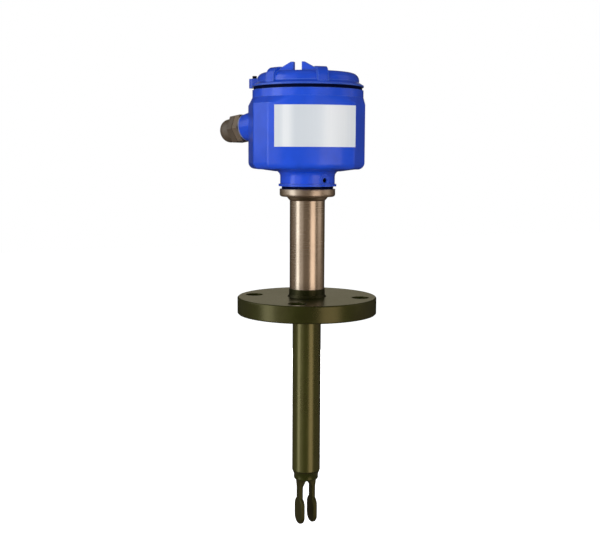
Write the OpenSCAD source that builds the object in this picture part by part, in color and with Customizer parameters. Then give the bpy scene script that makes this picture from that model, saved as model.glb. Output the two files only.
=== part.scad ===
// Vibrating fork level switch with a flanged process connection, an extension neck and a cast housing.
// Millimetres. The origin is the centre of the bolt circle on the flange's lower face, +Z runs up the stem
// and +X runs through both tines of the fork.

/* [Flange] */
// Outside diameter of the flange
flange_d = 127; // [115:1:150]
// Thickness of the plate without its raised face
flange_t = 15.4; // [10:0.1:20]
// Diameter of the raised sealing face
raised_d = 73; // [60:1:78]
// Height of the raised sealing face
raised_h = 1.6; // [1:0.1:3]
// Bolt circle diameter
bolt_pcd = 98.4; // [94:0.1:105]
// Bolt hole diameter
bolt_hole_d = 15.9; // [12:0.1:18]
// Number of bolt holes
bolt_count = 4; // [4:4:8]
// Turn of the bolt holes about the stem, in degrees
bolt_turn = -36; // [-45:0.5:45]
// Chamfer on the plate's rim
flange_chamfer = 0.8; // [0.3:0.1:2]

/* [Stem and fork] */
// Outside diameter of the stem
stem_d = 26; // [24:0.1:28]
// Wall of the stem
stem_wall = 2; // [1.5:0.1:2.5]
// Length of the stem below the flange's plate
stem_len = 147.8; // [80:0.1:400]
// Height of the taper from the stem to the fork
taper_h = 4.3; // [2:0.1:8]
// Diameter of the fork's base
fork_d = 22.6; // [21:0.1:23.5]
// Height of the fork's base below the taper
fork_base_h = 5; // [4:0.1:10]
// Rounding under the fork's base
fork_round = 2; // [0.5:0.1:2.5]
// Thickness of the diaphragm that carries the tines
diaphragm_t = 2.4; // [1.8:0.1:3]
// Length of the tines below the base
tine_len = 43; // [36:0.5:100]
// Distance between the middle planes of the tines
tine_pitch = 12.7; // [11:0.1:14]
// Thickness of a tine
tine_t = 4; // [3:0.1:5]
// Width of a tine at its neck
tine_neck_w = 8; // [6:0.1:10]
// Width of a paddle
paddle_w = 16; // [12:0.1:17]
// Rounding of a paddle's edges
paddle_round = 1.5; // [0.5:0.1:1.8]
// Length of a paddle
paddle_len = 26; // [20:0.5:32]

/* [Piezo stack] */
// Diameter of the pocket behind the diaphragm
pocket_d = 16.8; // [15:0.1:17.5]
// Diameter of the piezo discs
disc_d = 12.6; // [10:0.1:13.5]
// Thickness of a piezo disc
disc_t = 2; // [1.5:0.1:2.5]
// Number of piezo discs
disc_count = 3; // [2:1:4]
// Thickness of an electrode plate
electrode_t = 0.4; // [0.3:0.1:0.6]
// Thickness of an insulating washer
insulator_t = 1.2; // [0.8:0.1:2]
// Diameter of the clamping stud
stud_d = 4; // [3:0.1:5]
// Diameter of the cable that runs up the stem
cable_d = 4.4; // [3:0.1:5]

/* [Extension neck] */
// Outside diameter of the neck tube
tube_d = 31.75; // [30:0.05:36]
// Wall of the neck tube
tube_wall = 2; // [1.5:0.1:2.5]
// Length of the neck tube above the flange
tube_len = 90.9; // [50:0.1:200]
// Height of the coated band on the tube above the flange
band_h = 7.4; // [6:0.1:15]
// Thickness of the coated band
band_t = 0.45; // [0.3:0.05:1]
// Width of the weld at the foot of the band
weld_w = 1.9; // [1.2:0.1:4]
// Diameter of the steel collar under the housing
collar_d = 50.2; // [46:0.1:54]
// Height of the steel collar
collar_h = 7; // [5:0.1:12]
// Rounding under the collar's edge
collar_round = 2.4; // [0.5:0.1:3]
// Diameter of the spigot that the housing turns on
spigot_d = 36; // [32:0.1:38]
// Bore of the spigot for the cable
spigot_bore_d = 18; // [12:0.5:20]

/* [Housing] */
// Turn of the housing on its spigot, in degrees
housing_turn = -17.5; // [-180:0.5:180]
// Diameter of the housing's neck
neck_d = 49.3; // [47:0.1:52]
// Height of the neck under the body
neck_h = 15.2; // [14:0.1:20]
// Diameter of the lip at the neck's foot
lip_d = 52.2; // [50:0.1:56]
// Height of the lip
lip_h = 2.1; // [1:0.1:3]
// Fillet between the neck and the body
neck_fillet = 5.5; // [2:0.1:9]
// Drop of the underside from the foot's rounding to the fillet
under_drop = 1.8; // [0.8:0.1:3]
// Radius of the gently curved front and back
front_r = 80; // [76:1:120]
// Distance from the axis to the middle of the front
half_depth = 50.2; // [49.8:0.1:53]
// Width of the body on the blank side of the axis
blank_side_w = 48.2; // [47.5:0.1:54]
// Width of the body on the cable side of the axis
cable_side_w = 51.4; // [50:0.1:58]
// Distance from the axis to the front corner flat on the cable side
cable_flat_dist = 55.2; // [53:0.1:58]
// Distance from the axis to the front corner flat on the blank side
blank_flat_dist = 52; // [51.5:0.1:58]
// Direction of the front corner flats, from the middle of the front, in degrees
front_flat_angle = 58; // [50:1:62]
// Distance from the axis to the back corner flats
back_flat_dist = 55; // [53:0.1:56]
// Direction of the back corner flats, from the middle of the back, in degrees
back_flat_angle = 45; // [42:1:55]
// Rounding of the upright edges and of the foot of the body
edge_r = 6; // [3:0.1:7]
// Height of the body from its foot to the mouth ring
body_h = 62.8; // [56:0.1:80]
// Height of the slope between the body and the mouth ring
slope_h = 6; // [3:0.1:8]
// Diameter of the round mouth ring
mouth_d = 99.2; // [98:0.1:101]
// Height of the mouth ring
mouth_h = 6.7; // [4:0.1:10]
// Diameter of the cavity
cavity_d = 86; // [82:0.5:87]
// Diameter of the threaded mouth
thread_d = 88; // [87.5:0.1:89]
// Depth of the threaded mouth
thread_depth = 14; // [12:0.5:18]
// Thickness of the floor
floor_t = 5; // [4:0.1:8]
// Set screw diameter
set_screw_d = 4.4; // [4:0.1:6]
// Direction of the set screw in the housing, in degrees
set_screw_turn = -61; // [-80:1:-20]
// Height of the set screw above the neck's foot
set_screw_h = 5.6; // [5:0.1:8]

/* [Rating plate] */
// Width of the bare plate along the front
plate_w = 72.3; // [50:0.1:76]
// Height of the plate
plate_h = 35.4; // [20:0.1:45]
// Thickness of the plate
plate_t = 0.5; // [0.3:0.1:1]
// Height of the plate's lower edge above the foot of the body
plate_rise = 19.4; // [10:0.1:24]

/* [Cable gland] */
// Direction of the cable entry in the housing, in degrees
entry_turn = 135; // [125:1:145]
// Downward lean of the cable entry, in degrees
entry_tilt = 8; // [0:0.5:12]
// Height of the boss's face above the foot of the body
entry_rise = 38.3; // [30:0.1:42]
// Distance from the axis to the face of the entry boss
boss_reach = 71; // [69:0.5:85]
// Diameter of the boss at its face
boss_d = 24.8; // [24:0.1:30]
// Diameter of the boss at its root
boss_root_d = 33; // [28:0.1:34]
// Diameter of the threaded entry
entry_d = 20.2; // [18:0.1:22]
// Width across the flats of the gland's hexagons
gland_af = 24.6; // [24:0.1:27]
// Height of the gland body's hexagon
gland_hex_h = 6; // [4:0.1:8]
// Thickness of the gland washer
washer_t = 1.2; // [0.8:0.1:2]
// Bore of the gland's seal for the cable
gland_bore_d = 9; // [6:0.1:11]
// Length of the gland's seal
gland_seal_h = 10; // [7:0.1:12]
// Height of the hexagon on the gland nut
nut_hex_h = 6; // [3:0.1:7]
// Length of the gland nut
nut_len = 21.2; // [18:0.1:24]
// Rounding of the gland nut's dome
dome_r = 8; // [5:0.1:9]

/* [Cover] */
// Turn of the cover in the housing, in degrees
cover_turn = -22.7; // [-180:0.1:180]
// Diameter of the cover's rim
rim_d = 99.6; // [98:0.1:102]
// Height of the rim below its slope
rim_h = 1.3; // [1:0.1:3]
// Height of the slope from the rim to the wall
rim_slope_h = 2.7; // [1.5:0.1:4]
// Diameter of the cover's wall
wall_d = 91.2; // [90:0.1:94]
// Height of the cover above its rim's underside
cover_h = 12.2; // [11:0.1:18]
// Rounding of the cover's top edge
cover_round = 6.5; // [4:0.1:7]
// Thickness of the cover's top
cover_top_t = 4.5; // [3:0.1:5]
// Thickness of the threaded skirt
skirt_t = 3.4; // [2.5:0.1:5]
// Length of the threaded skirt below the rim
skirt_len = 9.6; // [6:0.1:11]
// Direction of a grip lug from the middle of its fin, in degrees
lug_angle = 30; // [26:1:40]
// Width of a grip lug
lug_w = 9.5; // [6:0.1:12]
// Rise of the lugs above the wall
lug_rise = 1.9; // [1:0.1:3]
// Rise of the lugs above the top
lug_top_rise = 3.2; // [2:0.1:4]
// Length of a lug on the top, in from its rounding
lug_in = 7; // [4:0.1:12]
// Distance from the axis to the slotted fins
fin_dist = 34; // [30:0.1:35]
// Height of the fins above the top
fin_h = 7.2; // [5:0.1:10]
// Half the length of a fin at its foot
fin_half = 19; // [15:0.1:19]
// Half the length of a fin's crest
fin_crest = 6; // [5:0.1:10]
// Thickness of a fin
fin_t = 5; // [3:0.1:6]
// Width of the bar slot through a fin
bar_slot_w = 7.2; // [4:0.1:8]
// Distance from the axis to the lock screw in its ear
ear_dist = 49.8; // [49:0.1:54]
// Diameter of the ear
ear_d = 10; // [8:0.1:12]
// Height of the ear above the rim's underside
ear_h = 8.3; // [6:0.1:11]
// Diameter of the lock screw
lock_screw_d = 4; // [3:0.1:5]
// Thickness of the cover gasket
gasket_t = 2.5; // [1.5:0.1:3.5]

/* [Electronics] */
// Diameter of the electronics cup
cup_d = 76; // [70:0.5:80]
// Height of the electronics cup
cup_h = 20; // [16:0.5:26]
// Wall and floor of the cup
cup_wall = 2; // [1.5:0.1:3]
// Distance from the axis to the cup's flat side, which leaves the wiring space
cup_flat_dist = 24; // [20:0.5:28]
// Height of the cup above the housing's floor
cup_rise = 8.5; // [6:0.1:12]
// Thickness of the circuit board
board_t = 1.6; // [1:0.1:2.4]
// Depth of the board below the cup's rim
board_drop = 4.4; // [3:0.1:8]
// Distance from the axis to the cup's screws
screw_dist = 29.5; // [27:0.1:31]
// Direction of the line through the cup's screws, in degrees
screw_turn = 12; // [8:1:16]
// Diameter of the cup's screws
screw_d = 3; // [2.5:0.1:4]
// Number of terminals
terminal_count = 6; // [2:1:6]
// Distance between terminals
terminal_pitch = 7; // [5:0.1:7]
// Depth of the terminal block
terminal_depth = 12; // [10:0.1:14]
// Height of the terminal block
terminal_h = 14; // [10:0.1:16]
// Length of the mode switch
switch_len = 10; // [8:0.1:12]
// Width of the mode switch
switch_w = 5; // [4:0.1:7]
// Height of the mode switch
switch_h = 5; // [4:0.1:8]
// Travel of the mode switch's slider
slider_travel = 3; // [2:0.1:4]

/* [Fits] */
// Clearance between pieces that turn or slide on each other
run_gap = 0.35; // [0.2:0.05:0.4]
// Clearance between flat faces that turn on each other
face_gap = 0.2; // [0.1:0.05:0.4]
// Clearance between pieces that are fixed together
fit_gap = 0.05; // [0.02:0.01:0.1]

/* [Hidden] */
$fn = 96;
overlap = 1;
post_fn = 24;
half_plane_size = 400;

blue_paint = [0.2, 0.33, 0.8];
coating = [0.36, 0.34, 0.22];
steel = [0.78, 0.74, 0.68];
black_rubber = [0.07, 0.07, 0.08];
gland_bronze = [0.45, 0.4, 0.32];
brass = [0.78, 0.62, 0.3];

flange_top = flange_t;
stem_r = stem_d / 2;
stem_bore_r = stem_r - stem_wall;
fork_r = fork_d / 2;
taper_z = -stem_len - taper_h;
fork_z = taper_z - fork_base_h;
pocket_z = fork_z + diaphragm_t;
stud_boss_h = 2.5;
stud_boss_d = stud_d + 5;
stack_z = pocket_z + stud_boss_h;
stud_embed = stud_boss_h + diaphragm_t / 2;
electrode_step = disc_t + electrode_t;
electrodes_z = stack_z + insulator_t;
upper_insulator_z = electrodes_z + disc_count * electrode_step + electrode_t;
spring_z = upper_insulator_z + insulator_t;
spring_t = 1;
stack_nut_z = spring_z + spring_t;
stack_nut_h = 0.8 * stud_d;
stud_tail = 1.2;
stud_top = stack_nut_z + stack_nut_h + stud_tail;
disc_bore_d = stud_d + 0.8;
plug_t = 8;

tube_r = tube_d / 2;
collar_z = flange_top + tube_len;
collar_top = collar_z + collar_h;
seal_t = 2.2;
lip_z = collar_top + seal_t + face_gap;
body_z = lip_z + neck_h;
floor_z = body_z + floor_t;
spigot_r = spigot_d / 2;
ring_t = 1.2;
ring_z = floor_z + face_gap;
ring_groove = 1;
spigot_top = ring_z + ring_t + 2;
pilot_len = 8;
cord_ring_t = 3;
cord_ring_proud = 0.15;
cord_ring_r = spigot_r + cord_ring_proud - cord_ring_t / 2;
cord_ring_z = floor_z - 6.5;
screw_groove = 1.5;
set_screw_z = lip_z + set_screw_h;
set_screw_tip = 0.8;

shoulder_z = body_z + body_h;
mouth_z = shoulder_z + mouth_h;
gasket_z = mouth_z + face_gap;
cover_z = gasket_z + gasket_t + face_gap;
thread_r = thread_d / 2;
skirt_r = thread_r - run_gap;
entry_z = body_z + entry_rise;

gland_z = boss_reach + washer_t;
gland_neck_z = gland_z + gland_hex_h;
gland_neck_d = 17.6;
gland_pocket_d = gland_neck_d - 2.6;
seal_seat_z = gland_neck_z + 0.5;
seal_top = seal_seat_z + gland_seal_h;
gland_neck_top = seal_top - 0.6;
slip_t = 1.4;
slip_z = seal_top + run_gap;
nut_z = gland_neck_z + run_gap;
nut_bore_d = gland_neck_d + 2 * run_gap;
nut_seat_z = slip_z + slip_t + run_gap;
nut_top = nut_z + nut_len;

cup_z = floor_z + cup_rise;
cup_top = cup_z + cup_h;
board_z = cup_top - board_drop - board_t;
board_top = board_z + board_t;
column_d = screw_d + 5;
screw_head_h = 2;
screw_bite = 6;
cable_top = board_top + 6;
terminal_len = terminal_count * terminal_pitch + 2;
terminal_y = 18 - cup_d / 2;
switch_pos = [-12, -6];
relay_size = [18, 12, 12];
relay_pos = [cup_d / 2 - cup_wall - relay_size[0] - 11, 11];
led_pos = [-terminal_len / 2 - 2, -10];
led_pitch = 5;
led_d = 3;
earth_turn = 160;
earth_dist = 37;
earth_screw_d = 4;
earth_post_d = earth_screw_d + 4.5;

// Shapes that several pieces share

// A round bar or ring from z, along Z
module ring(d, bore, z, h) {
    translate([0, 0, z])
    difference() {
        cylinder(d = d, h = h);
        if (bore > 0)
            translate([0, 0, -overlap]) cylinder(d = bore, h = h + 2 * overlap);
    }
}

// A hexagon with the given width across flats
module hexagon(af, z, h) {
    translate([0, 0, z]) rotate(30) cylinder(d = af / cos(30), h = h, $fn = 6);
}

// The plane half that lies within dist of the origin along a direction
module half_plane(direction, dist) {
    rotate(direction)
    translate([dist - half_plane_size, -half_plane_size / 2])
    square(half_plane_size);
}

// A block on the given centre, standing on z
module block(pos, size, z) {
    translate([pos[0] - size[0] / 2, pos[1] - size[1] / 2, z]) cube(size);
}

// The housing's own directions: its front faces -Y
module housing_frame() {
    rotate(housing_turn) children();
}

// The cable entry's line: +Z runs out of the housing, leaning down about the middle of the boss's face
module entry_frame() {
    housing_frame()
    rotate(entry_turn)
    translate([boss_reach, 0, entry_z])
    rotate([0, 90 + entry_tilt, 0])
    translate([0, 0, -boss_reach])
    children();
}

// The set screw's line: +Z runs out of the neck
module set_screw_frame() {
    housing_frame() translate([0, 0, set_screw_z]) rotate([0, 90, set_screw_turn]) children();
}

// The cover's own directions: its fins stand across -Y and +Y
module cover_frame() {
    housing_frame() rotate(cover_turn) children();
}

// The lock screw's line beside the cover's wall
module ear_frame() {
    cover_frame() translate([-ear_dist, 0, 0]) children();
}

// The two screws that hold the cup
module cup_screw_places() {
    housing_frame() rotate(screw_turn) for (side = [-1, 1]) translate([side * screw_dist, 0, 0]) children();
}

module earth_frame() {
    housing_frame() rotate(earth_turn) translate([earth_dist, 0, 0]) children();
}

module terminal_places() {
    housing_frame()
    for (i = [0 : terminal_count - 1])
        translate([(i - (terminal_count - 1) / 2) * terminal_pitch, terminal_y, 0]) children();
}

// Process connection

module flange() {
    color(coating)
    difference() {
        rotate_extrude()
        polygon([
            [0, -raised_h],
            [raised_d / 2, -raised_h],
            [raised_d / 2, 0],
            [flange_d / 2 - flange_chamfer, 0],
            [flange_d / 2, flange_chamfer],
            [flange_d / 2, flange_top - flange_chamfer],
            [flange_d / 2 - flange_chamfer, flange_top],
            [0, flange_top]
        ]);
        translate([0, 0, -raised_h - overlap])
        cylinder(r = stem_r + fit_gap, h = raised_h + flange_top + 2 * overlap);
        for (i = [0 : bolt_count - 1])
            rotate(bolt_turn + i * 360 / bolt_count)
            translate([bolt_pcd / 2, 0, -overlap])
            cylinder(d = bolt_hole_d, h = flange_top + 2 * overlap);
    }
}

// The coated weld and band where the neck tube stands on the flange
module flange_weld() {
    inner = tube_r + fit_gap;
    outer = tube_r + band_t;
    color(coating * 0.5)
    rotate_extrude()
    polygon([
        [inner, flange_top],
        [tube_r + weld_w, flange_top],
        [outer, flange_top + weld_w],
        [outer, flange_top + band_h],
        [inner, flange_top + band_h]
    ]);
}

module stem_tube() {
    color(coating) ring(stem_d, 2 * stem_bore_r, -stem_len, stem_len + flange_top);
}

// A round plate across X with rounded edges
module soft_disc(r, t, edge) {
    rotate([0, 90, 0])
    rotate_extrude($fn = 2 * post_fn)
    for (side = [-1, 1])
        translate([r - edge, side * (t / 2 - edge)]) circle(edge, $fn = post_fn);
}

// One tine: a narrow neck that widens into a paddle with round ends, all with rounded edges
module tine(side) {
    paddle_r = paddle_w / 2;
    corner = [tine_t / 2 - paddle_round, tine_neck_w / 2 - paddle_round];
    translate([side * tine_pitch / 2, 0, fork_z - tine_len]) {
        hull()
        for (z = [paddle_r, paddle_len - paddle_r])
            translate([0, 0, z]) soft_disc(paddle_r, tine_t, paddle_round);
        hull()
        for (x = [-1, 1], y = [-1, 1])
            translate([x * corner[0], y * corner[1], paddle_len / 2])
            cylinder(r = paddle_round, h = tine_len - paddle_len / 2 + diaphragm_t / 2, $fn = post_fn);
    }
}

// The swelling where a tine leaves the diaphragm, towards the other tine
module tine_root(side) {
    root_h = 7;
    grow = 3;
    inset = 0.6;
    translate([side * tine_pitch / 2, 0, fork_z])
    hull() {
        block([-side * grow / 2, 0], [tine_t + grow, tine_neck_w + 2 * inset, diaphragm_t / 2], 0);
        block([0, 0], [tine_t - inset, tine_neck_w - inset, diaphragm_t / 2], -root_h);
    }
}

module fork() {
    plug_r = stem_bore_r - fit_gap;
    color(coating * 0.8) {
        difference() {
            union() {
                rotate_extrude() {
                    translate([fork_r - fork_round, fork_z + fork_round]) circle(fork_round);
                    translate([0, fork_z]) square([fork_r - fork_round, fork_base_h]);
                    translate([0, fork_z + fork_round]) square([fork_r, fork_base_h - fork_round]);
                    polygon([[0, taper_z], [fork_r, taper_z], [stem_r, -stem_len], [0, -stem_len]]);
                    translate([0, -stem_len]) square([plug_r, pilot_len]);
                }
                for (side = [-1, 1]) {
                    tine(side);
                    tine_root(side);
                }
            }
            difference() {
                translate([0, 0, pocket_z])
                cylinder(d = pocket_d, h = pilot_len - stem_len - pocket_z + overlap);
                translate([0, 0, pocket_z - overlap]) cylinder(d = stud_boss_d, h = stud_boss_h + overlap);
            }
            translate([0, 0, stack_z - stud_embed])
            cylinder(d = stud_d + 2 * fit_gap, h = stud_embed + overlap);
        }
    }
}

// Piezo stack behind the diaphragm

module stack_stud() {
    color(steel) ring(stud_d, 0, stack_z - stud_embed, stud_top - stack_z + stud_embed);
}

module stack_insulators() {
    color("white")
    for (z = [stack_z, upper_insulator_z]) ring(disc_d, disc_bore_d, z, insulator_t);
}

module piezo_discs() {
    color([0.85, 0.82, 0.72])
    for (i = [0 : disc_count - 1])
        ring(disc_d, disc_bore_d, electrodes_z + i * electrode_step + electrode_t, disc_t);
}

// Thin plates with solder tabs that stand out towards the wall, on alternate sides
module electrode_plates() {
    tab_w = 2.4;
    tab_reach = (pocket_d + disc_d) / 4;
    color(brass)
    for (i = [0 : disc_count])
        translate([0, 0, electrodes_z + i * electrode_step])
        difference() {
            union() {
                cylinder(d = disc_d, h = electrode_t);
                rotate(180 * (i % 2)) translate([0, -tab_w / 2, 0]) cube([tab_reach, tab_w, electrode_t]);
            }
            translate([0, 0, -overlap]) cylinder(d = disc_bore_d, h = electrode_t + 2 * overlap);
        }
}

// A dished spring washer
module stack_spring() {
    inner = disc_bore_d / 2;
    outer = disc_d / 2 - 1;
    sheet = 0.5 * spring_t;
    color(steel)
    rotate_extrude()
    polygon([
        [inner, stack_nut_z - sheet],
        [outer, spring_z],
        [outer, spring_z + sheet],
        [inner, stack_nut_z]
    ]);
}

module stack_nut() {
    color(steel)
    difference() {
        hexagon(1.75 * stud_d, stack_nut_z, stack_nut_h);
        translate([0, 0, stack_nut_z - overlap])
        cylinder(d = stud_d + 2 * fit_gap, h = stack_nut_h + 2 * overlap);
    }
}

module sensor_cable() {
    start = stud_top + run_gap;
    color("dimgray") ring(cable_d, 0, start, cable_top - start);
}

module stem_plug() {
    color(black_rubber)
    ring(2 * (stem_bore_r - fit_gap), cable_d + 2 * fit_gap, flange_top - plug_t, plug_t);
}

// Extension neck

module neck_tube() {
    color(steel) ring(tube_d, tube_d - 2 * tube_wall, flange_top, tube_len);
}

// A turned collar that closes the tube below, with the grooved spigot for the housing above
module swivel_adapter() {
    pilot_r = tube_r - tube_wall - fit_gap;
    bead_w = 3;
    bead_h = 3.6;
    collar_r = collar_d / 2;
    groove_h = cord_ring_t + 0.4;
    screw_groove_h = set_screw_d + 1.4;
    color(steel)
    rotate_extrude()
    difference() {
        union() {
            translate([0, collar_z - pilot_len]) square([pilot_r, pilot_len + overlap]);
            polygon([
                [tube_r + fit_gap, collar_z - bead_h],
                [tube_r + bead_w, collar_z],
                [tube_r + bead_w, collar_z + overlap],
                [tube_r + fit_gap, collar_z + overlap]
            ]);
            translate([0, collar_z + collar_round]) square([collar_r, collar_h - collar_round]);
            translate([0, collar_z]) square([collar_r - collar_round, collar_h]);
            translate([collar_r - collar_round, collar_z + collar_round]) circle(collar_round);
            translate([0, collar_top - overlap]) square([spigot_r, spigot_top - collar_top + overlap]);
        }
        translate([0, collar_z - pilot_len - overlap])
        square([spigot_bore_d / 2, spigot_top - collar_z + pilot_len + 2 * overlap]);
        translate([spigot_r - screw_groove, set_screw_z - screw_groove_h / 2])
        square([screw_groove + overlap, screw_groove_h]);
        translate([cord_ring_r - cord_ring_t / 2 - fit_gap, cord_ring_z - groove_h / 2])
        square([cord_ring_t + overlap, groove_h]);
        translate([spigot_r - ring_groove, ring_z - fit_gap])
        square([ring_groove + overlap, ring_t + 2 * fit_gap]);
    }
}

module swivel_seal_ring() {
    color(black_rubber)
    rotate_extrude() translate([cord_ring_r, cord_ring_z]) circle(d = cord_ring_t);
}

module neck_seal() {
    seal_d = neck_d - 2.7;
    color(black_rubber) ring(seal_d, spigot_d + 2 * fit_gap, collar_top, seal_t);
}

// An open spring ring with two eyes, above the housing's floor
module retaining_ring() {
    inner = spigot_r - ring_groove + fit_gap;
    width = 3.2;
    gap_angle = 24;
    eye_d = 5;
    eye_angle = gap_angle / 2 + 8;
    color(steel)
    translate([0, 0, ring_z])
    difference() {
        union() {
            rotate(gap_angle / 2)
            rotate_extrude(angle = 360 - gap_angle)
            translate([inner, 0]) square([width, ring_t]);
            for (side = [-1, 1])
                rotate(side * eye_angle)
                translate([inner + width, 0, 0])
                cylinder(d = eye_d, h = ring_t);
        }
        for (side = [-1, 1])
            rotate(side * eye_angle)
            translate([inner + width, 0, -overlap])
            cylinder(d = eye_d / 2.5, h = ring_t + 2 * overlap);
    }
}

module cable_grommet() {
    grommet_h = 5;
    color(black_rubber)
    ring(spigot_bore_d - 2 * fit_gap, cable_d + 2 * fit_gap, spigot_top - grommet_h, grommet_h);
}

// Housing

// Where two flat sides meet, from the direction and the distance of each
function meet(a, dist_a, b, dist_b) =
    [dist_a * sin(b) - dist_b * sin(a), dist_b * cos(a) - dist_a * cos(b)] / sin(b - a);

// Half the angle of a curved side up to a corner flat, on the line of the edge posts
function arc_end(angle, dist) =
    angle - acos((dist - edge_r + (front_r - half_depth) * cos(angle)) / (front_r - edge_r));

// An upright edge of the body, with a ball for its rounded foot
module edge_post() {
    translate([0, 0, body_z + edge_r]) sphere(edge_r, $fn = post_fn);
    translate([0, 0, body_z + edge_r])
    cylinder(r = edge_r, h = shoulder_z - slope_h - body_z - edge_r, $fn = post_fn);
}

// The posts along a curved side that faces -Y, from one angle off its middle to another
module curved_side(start_angle, end_angle) {
    arc_steps = 12;
    translate([0, front_r - half_depth, 0])
    for (i = [0 : arc_steps])
        rotate(start_angle + (end_angle - start_angle) * i / arc_steps)
        translate([0, edge_r - front_r, 0])
        edge_post();
}

// The outside of the cast body: curved front and back, flat sides and corners, a rounded foot,
// and a slope up to the round mouth
module body_shell() {
    slice = 0.3;
    ring_ledge = 0.15;
    blank_dist = blank_side_w - edge_r;
    cable_dist = cable_side_w - edge_r;
    back_dist = back_flat_dist - edge_r;
    back_end = arc_end(back_flat_angle, back_flat_dist);
    hull() {
        curved_side(-arc_end(front_flat_angle, cable_flat_dist), arc_end(front_flat_angle, blank_flat_dist));
        rotate(180) curved_side(-back_end, back_end);
        translate(meet(0, blank_dist, -90 + front_flat_angle, blank_flat_dist - edge_r)) edge_post();
        translate(meet(0, blank_dist, 90 - back_flat_angle, back_dist)) edge_post();
        translate(meet(180, cable_dist, -90 - front_flat_angle, cable_flat_dist - edge_r)) edge_post();
        translate(meet(180, cable_dist, 90 + back_flat_angle, back_dist)) edge_post();
        translate([0, 0, shoulder_z - slice])
        cylinder(r = mouth_d / 2 + ring_ledge, h = slice, $fn = 4 * post_fn);
    }
}

// The round neck with its lip, the fillet and the shallow cone under the body
module neck_outside() {
    neck_r = neck_d / 2;
    fillet_lift = neck_fillet / 8;
    cone_r = half_depth - edge_r - 0.7;
    cone_z = body_z - under_drop;
    rotate_extrude() {
        translate([0, lip_z]) square([lip_d / 2, lip_h]);
        translate([0, lip_z]) square([neck_r, neck_h + overlap]);
        polygon([
            [0, cone_z],
            [neck_r + neck_fillet, cone_z],
            [cone_r, body_z],
            [cone_r, body_z + overlap],
            [0, body_z + overlap],
        ]);
        translate([0, cone_z - neck_fillet + fillet_lift])
        difference() {
            square([neck_r + neck_fillet, neck_fillet + overlap]);
            translate([neck_r + neck_fillet, 0]) circle(neck_fillet);
        }
    }
}

module housing_body() {
    pad_d = 2 * set_screw_h - 1;
    pad_proud = 0.7;
    boss_root = cavity_d / 2 - overlap;
    color(blue_paint)
    difference() {
        union() {
            housing_frame() body_shell();
            neck_outside();
            ring(mouth_d, 0, shoulder_z - overlap, mouth_h + overlap);
            entry_frame()
            translate([0, 0, boss_root])
            cylinder(d1 = boss_root_d, d2 = boss_d, h = boss_reach - boss_root);
            set_screw_frame() cylinder(d = pad_d, h = neck_d / 2 + pad_proud);
        }
        difference() {
            translate([0, 0, floor_z]) cylinder(d = cavity_d, h = mouth_z - floor_z + overlap);
            cup_screw_places()
            translate([0, 0, floor_z - overlap])
            cylinder(d = column_d, h = cup_rise + overlap);
            earth_frame()
            translate([0, 0, floor_z - overlap])
            cylinder(d = earth_post_d, h = cup_rise + overlap);
        }
        translate([0, 0, mouth_z - thread_depth]) cylinder(r = thread_r, h = thread_depth + overlap);
        translate([0, 0, lip_z - overlap])
        cylinder(r = spigot_r + run_gap, h = neck_h + floor_t + 2 * overlap);
        set_screw_frame() cylinder(d = set_screw_d + 2 * fit_gap, h = neck_d);
        entry_frame() translate([0, 0, cavity_d / 2 - 8]) cylinder(d = entry_d, h = boss_reach);
        cup_screw_places()
        translate([0, 0, cup_z - screw_bite])
        cylinder(d = screw_d + 2 * fit_gap, h = screw_bite + overlap);
        earth_frame()
        translate([0, 0, cup_z - screw_bite])
        cylinder(d = earth_screw_d + 2 * fit_gap, h = screw_bite + overlap);
    }
}

// A bare plate that follows the curved front
module rating_plate() {
    half_angle = plate_w / front_r * 90 / PI;
    color([0.86, 0.87, 0.88])
    housing_frame()
    translate([0, front_r - half_depth, body_z + plate_rise])
    rotate(-90 - half_angle)
    rotate_extrude(angle = 2 * half_angle)
    translate([front_r + fit_gap, 0]) square([plate_t, plate_h]);
}

// A set screw with a hexagon socket and a plain tip that runs in the spigot's groove
module neck_set_screw() {
    tip_z = spigot_r - set_screw_tip;
    body_start = spigot_r + run_gap;
    screw_end = neck_d / 2 - 1.2;
    socket_depth = 2.4;
    color(steel)
    set_screw_frame()
    difference() {
        union() {
            translate([0, 0, tip_z]) cylinder(d = set_screw_d - 1.2, h = body_start - tip_z + overlap);
            translate([0, 0, body_start]) cylinder(d = set_screw_d, h = screw_end - body_start);
        }
        hexagon(set_screw_d / 2, screw_end - socket_depth, socket_depth + overlap);
    }
}

// Cable gland

module gland_washer() {
    color([0.85, 0.85, 0.9]) entry_frame() ring(boss_d, entry_d, boss_reach, washer_t);
}

module gland_body() {
    thread_len = 14;
    bore_d = gland_bore_d + 3;
    color(gland_bronze)
    entry_frame()
    difference() {
        union() {
            translate([0, 0, gland_z - thread_len])
            cylinder(d = entry_d - 2 * fit_gap, h = thread_len + overlap);
            hexagon(gland_af, gland_z, gland_hex_h);
            translate([0, 0, gland_neck_z - overlap])
            cylinder(d = gland_neck_d, h = gland_neck_top - gland_neck_z + overlap);
        }
        translate([0, 0, gland_z - thread_len - overlap])
        cylinder(d = bore_d, h = thread_len + gland_neck_top);
        translate([0, 0, seal_seat_z]) cylinder(d = gland_pocket_d, h = gland_seal_h);
    }
}

module gland_seal() {
    color(black_rubber)
    entry_frame()
    ring(gland_pocket_d - 2 * fit_gap, gland_bore_d, seal_seat_z, gland_seal_h);
}

module gland_slip_ring() {
    color("ivory") entry_frame() ring(gland_neck_d, gland_bore_d + 1.4, slip_z, slip_t);
}

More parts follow.
